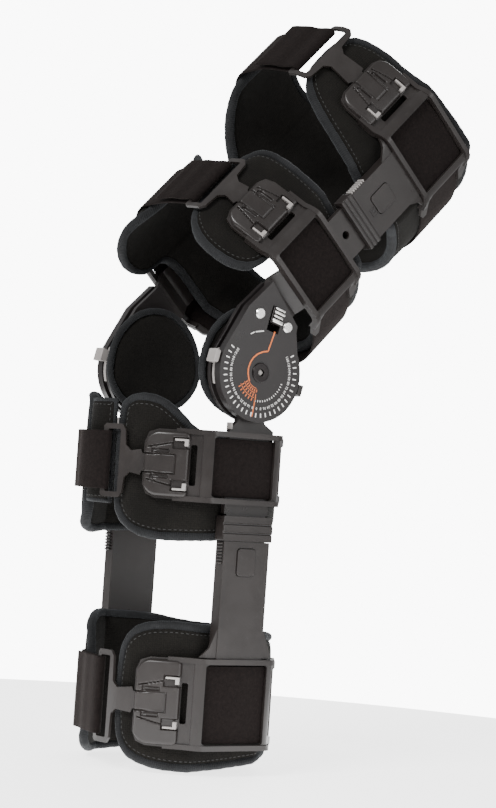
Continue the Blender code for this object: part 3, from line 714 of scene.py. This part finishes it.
def soft_goods():
    for name in CUFFS:
        padded_piece(f"{name}_pad", pad_outline(name), -9.0, -0.3, round_leg(name), CUFF_BODY[name],
                     f"{name}_pad")
        strap(name)
    tilt = Matrix.Rotation(-FLEXION, 2)
    for side, prefix in ((-1, "lateral"), (1, "medial")):
        loop = []
        for n in range(36):
            angle = 2 * pi * n / 36
            x, z = sin(angle), cos(angle)
            point = tilt @ Vector((x * (36.0 if x > 0 else 49.0) - 1.0, z * 44.0 + 3.0))
            loop.append(tuple(point))
        padded_piece(f"{prefix}_condyle", loop, 59.5, 65.7, beside_leg(side), "thigh_frame",
                     f"{prefix}_condyle_pad", roll=5.2, sewn=False)
    front = PATHS["calf_upper"].front_length
    loop = [(101.0, -104.0), (2 * front - 101.0, -104.0), (2 * front - 101.0, -26.0), (101.0, -26.0)]
    padded_piece("calf_front", loop, -5.0, -1.5, round_leg("calf_upper"), "shank_frame", "calf_front_band",
                 roll=3.4, voxel=2.4)


# ---- the dials' print ----------------------------------------------------------------------------

SCALE_START = 19.0
SCALE_STEP = 8.0
SCALE_R = 33.4
PRINT_LEVEL = 83.31
PRINT_DEPTH = 0.12
FIGURE_LEVEL = 83.38


def polar(radius, degrees):
    """The (x, z) place at a radius, at degrees from +Z towards +X."""
    return (radius * sin(radians(degrees)), radius * cos(radians(degrees)))


def bar_between(shape, start, end, width, place):
    """A thin printed stroke from start to end."""
    a, b = Vector(start), Vector(end)
    along = (b - a).normalized()
    across = Vector((-along.y, along.x)) * width / 2
    loop = (a - across, b - across, b + across, a + across)
    low = [shape.verts.new(place(p.x, p.y, PRINT_LEVEL)) for p in loop]
    high = [shape.verts.new(place(p.x, p.y, PRINT_LEVEL + PRINT_DEPTH)) for p in loop]
    shape.faces.new(high)
    shape.faces.new(low[::-1])
    for n in range(4):
        shape.faces.new((low[n], low[(n + 1) % 4], high[(n + 1) % 4], high[n]))


def strokes(name, segments, place, material, body):
    shape = bmesh.new()
    for start, end, width in segments:
        bar_between(shape, start, end, width, place)
    bmesh.ops.recalc_face_normals(shape, faces=shape.faces)
    mesh = bpy.data.meshes.new(name)
    shape.to_mesh(mesh)
    shape.free()
    piece(name, mesh, material, body)


def figures(name, labels, size, place, material, body, mirrored):
    """Small figures, each centred at (x, z) and turned by its angle, joined in one thin mesh."""
    shape = bmesh.new()
    for text, (x, z), angle in labels:
        font = bpy.data.curves.new("figure", "FONT")
        font.body = text
        font.size = size
        font.align_x = "CENTER"
        font.align_y = "CENTER"
        font.extrude = 0.05
        font.resolution_u = 2
        mesh = taken(linked(font))
        turn = Matrix.Rotation(-angle, 4, "Z")
        flip = Matrix.Scale(-1.0, 4, (1.0, 0.0, 0.0)) if mirrored else Matrix.Identity(4)
        mesh.transform(turn @ flip)
        for vertex in mesh.vertices:
            u, v, out = vertex.co
            vertex.co = place(x + u, z + v, FIGURE_LEVEL + out)
        shape.from_mesh(mesh)
    bmesh.ops.recalc_face_normals(shape, faces=shape.faces)
    mesh = bpy.data.meshes.new(name)
    shape.to_mesh(mesh)
    shape.free()
    piece(name, mesh, material, body)


def dial_print(side, prefix):
    """The travel scale: ticks and figures round the rim, an orange pointer line and its small fan.

    Its angles are polar's, in the thigh's own frame.
    """
    place = beside_leg(side)
    ticks = []
    labels = []
    for n in range(31):
        angle = SCALE_START + SCALE_STEP * n
        ticks.append((polar(30.2, angle), polar(SCALE_R, angle), 0.95))
        labels.append((str(abs(120 - 8 * n) // 2 * 2), polar(26.7, angle), radians(angle)))
    for n in range(14):
        angle = 66.0 + 6.0 * n
        ticks.append((polar(20.6, angle), polar(22.0, angle), 0.6))
    ticks += [(polar(30.0, -66.0), polar(30.6, -59.0), 0.8), (polar(30.6, -57.0), polar(31.0, -43.0), 0.9)]
    strokes(f"{prefix}_dial_ticks", ticks, place, WHITE_INK, "thigh_frame")
    figures(f"{prefix}_dial_figures", labels, 2.9, place, WHITE_INK, "thigh_frame", side > 0)
    turn = [(-25.0, 33.0), (-25.0, 17.2), (-40.0, 15.6), (-60.0, 14.0), (-80.0, 12.8), (-100.0, 12.0),
            (-120.0, 11.5), (-140.0, 11.3), (-158.0, 11.4), (-170.0, 11.8)]
    spots = [polar(radius, angle) for angle, radius in turn]
    pointer = [(a, b, 1.15) for a, b in zip(spots, spots[1:])]
    pointer.append((polar(18.5, -215.0), polar(SCALE_R, -215.0), 0.9))
    for row in range(3):
        radius = 12.2 + 3.6 * row
        for n in range(7):
            angle = -166.0 - 8.0 * n
            pointer.append((polar(radius + 0.8, angle), polar(radius + 2.8, angle), 0.75))
        rim = [polar(radius, -162.0 - 7.0 * n) for n in range(8)]
        pointer += [(a, b, 0.4) for a, b in zip(rim, rim[1:])]
    strokes(f"{prefix}_dial_pointer", pointer, place, ORANGE_INK, "thigh_frame")


# ---- moulded details -----------------------------------------------------------------------------

HOUSING_SPAN = (13.0, 46.4)
HOUSING_OUT = 8.7
HOUSING_FOOT = 4.8
HOUSING_CORNER = 11.0
HOUSING_ROUND = 2.4
HOUSING_SKIRT = 1.8
CHANNEL_START = 24.0
CHANNEL_OUT = 8.3
CUT_EDGE = 0.35


def rounded_blocks(name, boxes, place, material, body, edge=0.5):
    """Small boxes with round edges, each given as limits in the flat frame, joined in one piece."""
    shape = bmesh.new()
    for x, y, z in boxes:
        made = bmesh.ops.create_cube(shape, size=1.0)["verts"]
        size = [limits[1] - limits[0] for limits in (x, y, z)]
        middle = [sum(limits) / 2 for limits in (x, y, z)]
        fit = Matrix.Translation(middle) @ Matrix.Diagonal((*size, 1.0))
        bmesh.ops.transform(shape, matrix=fit, verts=made)
        edges = list({line for vertex in made for line in vertex.link_edges})
        bmesh.ops.bevel(shape, geom=edges, offset=min(edge, min(size) * 0.4), segments=3, affect="EDGES",
                        profile=0.6)
    for vertex in shape.verts:
        vertex.co = place(*vertex.co)
    bmesh.ops.recalc_face_normals(shape, faces=shape.faces)
    for face in shape.faces:
        face.smooth = True
    mesh = bpy.data.meshes.new(name)
    shape.to_mesh(mesh)
    shape.free()
    return piece(name, mesh, material, body)


def housing_top(w, v, tall):
    """How far out the receiver's housing stands, at w ahead of the side panel and v from its middle."""
    side = abs(v)
    top = HOUSING_OUT + 0.9 * (1.0 - (v / tall) ** 2) - 0.006 * (w - 28.0) ** 2
    if w > CHANNEL_START and side < 6.4:
        top = CHANNEL_OUT
    slant = 12.2 + (42.0 - w) * 0.22
    cuts = [
        (max(abs(w - 23.4) - 0.7, side - 7.4), 1.7),
        (max(abs(w - 34.5) - 6.5, abs(side - 9.6) - 1.2), 1.8),
        (max(abs(w - 19.2) - 6.2, abs(side - 15.7) - 4.0), 2.4),
    ]
    if w > CHANNEL_START:
        cuts.append((abs(side - 6.9) - 0.5, 1.5))
    if 25.0 < w < 43.5:
        cuts.append((abs(side - slant) - 0.35, 1.5))
    for distance, depth in cuts:
        if distance < CUT_EDGE:
            top -= depth * min(1.0, (CUT_EDGE - distance) / (2 * CUT_EDGE))
    return top


def fallen(edge, radius):
    """How far a quarter-round edge has fallen, at a distance inside it."""
    inside = radius - min(radius, max(0.0, edge))
    return radius - (radius ** 2 - inside ** 2) ** 0.5


def receiver_housing(name):
    """The receiver's shell: a crowned cover with the tongue's channel, two windows and two thumb pockets."""
    cuff = CUFFS[name]
    place = round_leg(name)
    half = cuff["half"]
    low, high = cuff["window"]
    middle = (low + high) / 2
    tall = (high - low) / 2 + 1.6
    start, end = HOUSING_SPAN
    across, along = 104, 68
    shape = bmesh.new()
    rows = []
    for i in range(along + 1):
        w = start + (end - start) * i / along
        reach = tall - fallen(end - w, HOUSING_CORNER) - fallen(w - start, 4.0)
        row = []
        for k in range(across + 1):
            v = reach * (2.0 * k / across - 1.0)
            edge = min(w - start, end - w, reach - abs(v))
            out = max(HOUSING_FOOT, housing_top(w, v, tall) - fallen(edge, HOUSING_ROUND))
            row.append(shape.verts.new(place(half + w, middle + v, out)))
        rows.append(row)
    for first, second in zip(rows, rows[1:]):
        for k in range(across):
            shape.faces.new((first[k], second[k], second[k + 1], first[k + 1]))
    rim = [edge for edge in shape.edges if len(edge.link_faces) == 1]
    skirt = bmesh.ops.extrude_edge_only(shape, edges=rim)["geom"]
    inward = (place(half + 30.0, middle, 0.0) - place(half + 30.0, middle, 1.0)).normalized()
    for part in skirt:
        if isinstance(part, bmesh.types.BMVert):
            part.co += inward * HOUSING_SKIRT * MM
    bmesh.ops.recalc_face_normals(shape, faces=shape.faces)
    for face in shape.faces:
        face.smooth = True
    mesh = bpy.data.meshes.new(name)
    shape.to_mesh(mesh)
    shape.free()
    mesh.set_sharp_from_angle(angle=radians(50.0))
    piece(f"{name}_receiver_housing", mesh, CHARCOAL, CUFF_BODY[name])


def release_tabs(name):
    """The receiver's two release tabs, each an upright with a lip along the housing's edge."""
    cuff = CUFFS[name]
    half = cuff["half"]
    middle = sum(cuff["window"]) / 2
    for sign, which in ((1, "top"), (-1, "bottom")):
        upright = sorted((middle + sign * 13.6, middle + sign * 19.0))
        lip = sorted((middle + sign * 17.4, middle + sign * 19.0))
        boxes = [((half + 14.0, half + 17.0), upright, (4.95, 8.9)),
                 ((half + 14.0, half + 24.3), lip, (4.95, 9.0))]
        node = f"{name}_{which}_release"
        tab = rounded_blocks(f"{name}_{which}_tab", boxes, round_leg(name), GREY, node, 0.7)
        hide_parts(node)


def sleeve_details(name, side, prefix, start, toward):
    """A sleeve's fine parts: grip teeth on its front edge and a small square clip on its face."""
    cuff = CUFFS[name]
    place = beside_leg(side, name.startswith("thigh"))
    centre = cuff["centre"] - cuff["bar"]
    face = cuff["flat"] + 10.3
    teeth = []
    for n in range(7):
        at = start + toward * (1.5 + 2.4 * n)
        teeth.append(((centre - 22.6, centre - 20.2), (at - 0.75, at + 0.75), (face - 7.5, face - 1.0)))
    material = GREY if name.startswith("thigh") else CHARCOAL
    body = CUFF_BODY[name]
    rounded_blocks(f"{prefix}_{name}_teeth", teeth, place, material, body, 0.4)
    middle = start + toward * 8.5
    left, right = centre - 1.0, centre + 5.6
    low, high = middle - 3.6, middle + 3.6
    raised = (face - 0.3, face + 0.35)
    clip = [((left, right), (low, low + 0.7), raised), ((left, right), (high - 0.7, high), raised),
            ((left, left + 0.7), (low, high), raised), ((right - 0.7, right), (low, high), raised),
            ((left + 1.6, right - 2.2), (middle - 1.4, middle + 1.4), (face - 0.3, face + 0.2))]
    rounded_blocks(f"{prefix}_{name}_clip", clip, place, DARK_PLATE, body, 0.25)


def dial_parts(side, prefix):
    """The lock's ribbed thumb slide and the core in the hollow pivot."""
    beside = beside_leg(side)

    def along_lock(across, along, out):
        return beside(along * sin(LOCK_ANGLE) + across * cos(LOCK_ANGLE),
                      along * cos(LOCK_ANGLE) - across * sin(LOCK_ANGLE), out)

    body = f"{prefix}_lock"
    foot = [((-5.0, 5.0), (38.0, 50.5), (81.9, 84.6))]
    base = rounded_blocks(f"{prefix}_lock_base", foot, along_lock, BLACK_METAL, body, 0.6)
    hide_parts(f"{prefix}_lock_slide")
    ribs = [((-4.9, 4.9), (38.6, 41.4), (84.0, 87.2)), ((-4.2, 4.2), (42.6, 44.4), (84.0, 86.6)),
            ((-4.9, 4.9), (45.4, 47.4), (84.0, 87.4)), ((-4.6, 4.6), (48.4, 50.2), (84.0, 86.8))]
    rounded_blocks(f"{prefix}_lock_ribs", ribs, along_lock, BRIGHT_METAL, body, 0.9)
    core = [((-2.3, 2.3), (-2.3, 2.3), (77.0, 83.6))]
    rounded_blocks(f"{prefix}_pivot_core", core, beside, GREY, "thigh_frame", 1.8)


def small_parts():
    for name in CUFFS:
        receiver_housing(name)
        release_tabs(name)
    for side, prefix in ((-1, "lateral"), (1, "medial")):
        dial_parts(side, prefix)
        sleeve_details("thigh_upper", side, prefix, 150.5, 1.0)
        sleeve_details("calf_lower", side, prefix, -126.0, -1.0)
        peg = [((-19.2, -17.4), (-43.4, -38.2), (71.8, 77.6))]
        place = beside_leg(side, False)
        rounded_blocks(f"{prefix}_shank_peg", peg, place, GREY, "shank_frame", 0.5)


# ---- the CAD's own pieces ------------------------------------------------------------------------

# How far each kind of node's edges are rounded, by the end of its name.
EDGE = {"dial_plate": 0.7, "back_plate": 0.5, "shank_bar": 0.8, "thigh_bar": 0.7, "pivot_rivet": 0.5,
        "front_rivet": 0.7, "rear_rivet": 0.7, "lock_slide": 0.5, "extension_stop": 1.5, "flexion_stop": 0.6,
        "wing": 0.9, "collar": 0.7, "button": 0.6, "buckle": 0.8, "release": 0.9}


def dress_cad():
    slots = {}
    for entry in frame["record"]["subparts"]:
        slots[entry["node"]] = entry["material_slot"]
    for name, node in frame["nodes"].items():
        mesh = node.data
        mesh.materials.clear()
        mesh.materials.append(SLOT_LOOKS[slots[name]])
        for kind, width in EDGE.items():
            if name.endswith(kind):
                weld = node.modifiers.new("weld", "WELD")
                weld.merge_threshold = 0.00001
                bevel = node.modifiers.new("bevel", "BEVEL")
                bevel.width = width * MM
                bevel.segments = 3
                bevel.limit_method = "ANGLE"
                bevel.angle_limit = radians(28.0)
                bevel.use_clamp_overlap = True
                even = node.modifiers.new("even", "WEIGHTED_NORMAL")
                even.weight = 90
                even.thresh = 0.02
                for face in mesh.polygons:
                    face.use_smooth = True


# ---- the room ------------------------------------------------------------------------------------

AZIMUTH = radians(-36.0)
PITCH = radians(1.5)
ROLL = radians(4.0)
DISTANCE = 1.8
FRAME_HEIGHT = 0.598
DIAL = Vector((0.0, -0.083, 0.0))
DIAL_OFFSET = (0.0090, 0.0232)
FLOOR_R = 0.62
FLOOR_SIDES = 96
FLOOR_GAP = 0.002


def add_camera():
    level = Vector((-sin(AZIMUTH), cos(AZIMUTH), 0.0))
    right = Vector((cos(AZIMUTH), sin(AZIMUTH), 0.0))
    up = Vector((0.0, 0.0, 1.0))
    ahead = level * cos(PITCH) + up * sin(PITCH)
    over = up * cos(PITCH) - level * sin(PITCH)
    across = right * cos(ROLL) + over * sin(ROLL)
    over = over * cos(ROLL) - right * sin(ROLL)
    target = DIAL - across * DIAL_OFFSET[0] - over * DIAL_OFFSET[1]
    place = target - ahead * DISTANCE
    data = bpy.data.cameras.new("camera")
    data.sensor_width = 36.0
    data.lens = data.sensor_width * DISTANCE / FRAME_HEIGHT
    camera = bpy.data.objects.new("camera", data)
    turn = Matrix((across, over, -ahead)).transposed().to_4x4()
    camera.matrix_world = Matrix.Translation(place) @ turn
    bpy.context.scene.collection.objects.link(camera)
    bpy.context.scene.camera = camera


def add_light(name, place, size, power):
    data = bpy.data.lights.new(name, "AREA")
    data.shape = "RECTANGLE"
    data.size = size
    data.size_y = size
    data.energy = power
    light = bpy.data.objects.new(name, data)
    light.location = place
    light.rotation_euler = (Vector((0.0, 0.0, -0.05)) - Vector(place)).to_track_quat("-Z", "Y").to_euler()
    bpy.context.scene.collection.objects.link(light)


def add_floor():
    look = Look("floor_paper", 0.9)
    tone = look.noise(3.0, 3.0)
    look.colour(look.mix(look.ramp(tone, 0.3, 0.7, 0.0, 1.0), (0.90, 0.90, 0.90), (0.93, 0.93, 0.93)))
    look.shader.inputs["Emission Color"].default_value = (1.0, 1.0, 1.0, 1.0)
    look.shader.inputs["Emission Strength"].default_value = 2.6
    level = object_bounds()[0][2] - FLOOR_GAP
    shape = bmesh.new()
    rim = []
    for n in range(FLOOR_SIDES):
        angle = 2 * pi * n / FLOOR_SIDES
        rim.append(shape.verts.new((FLOOR_R * cos(angle), FLOOR_R * sin(angle), level)))
    shape.faces.new(rim)
    mesh = bpy.data.meshes.new("floor")
    shape.to_mesh(mesh)
    shape.free()
    mesh.materials.append(look.material)
    floor = bpy.data.objects.new("floor", mesh)
    bpy.context.scene.collection.objects.link(floor)


def add_room():
    """A pale room: what is seen behind the brace is brighter than the light it gives."""
    add_camera()
    add_light("key", (-2.2, -0.9, 1.7), 1.0, 92)
    add_light("fill", (0.6, -2.2, 0.5), 1.6, 26)
    add_light("rim", (1.6, 1.4, 1.2), 1.2, 30)
    world = bpy.data.worlds.new("world")
    world.use_nodes = True
    tree = world.node_tree
    lit = tree.nodes["Background"]
    lit.inputs["Color"].default_value = (1.0, 1.0, 1.0, 1.0)
    lit.inputs["Strength"].default_value = 0.6
    seen = tree.nodes.new("ShaderNodeBackground")
    seen.inputs["Strength"].default_value = 12.0
    rays = tree.nodes.new("ShaderNodeLightPath")
    mix = tree.nodes.new("ShaderNodeMixShader")
    tree.links.new(rays.outputs["Is Camera Ray"], mix.inputs[0])
    tree.links.new(lit.outputs[0], mix.inputs[1])
    tree.links.new(seen.outputs[0], mix.inputs[2])
    tree.links.new(mix.outputs[0], tree.nodes["World Output"].inputs["Surface"])
    bpy.context.scene.world = world
    add_floor()


dress_cad()
soft_goods()
small_parts()
for side, prefix in ((-1, "lateral"), (1, "medial")):
    dial_print(side, prefix)
add_room()
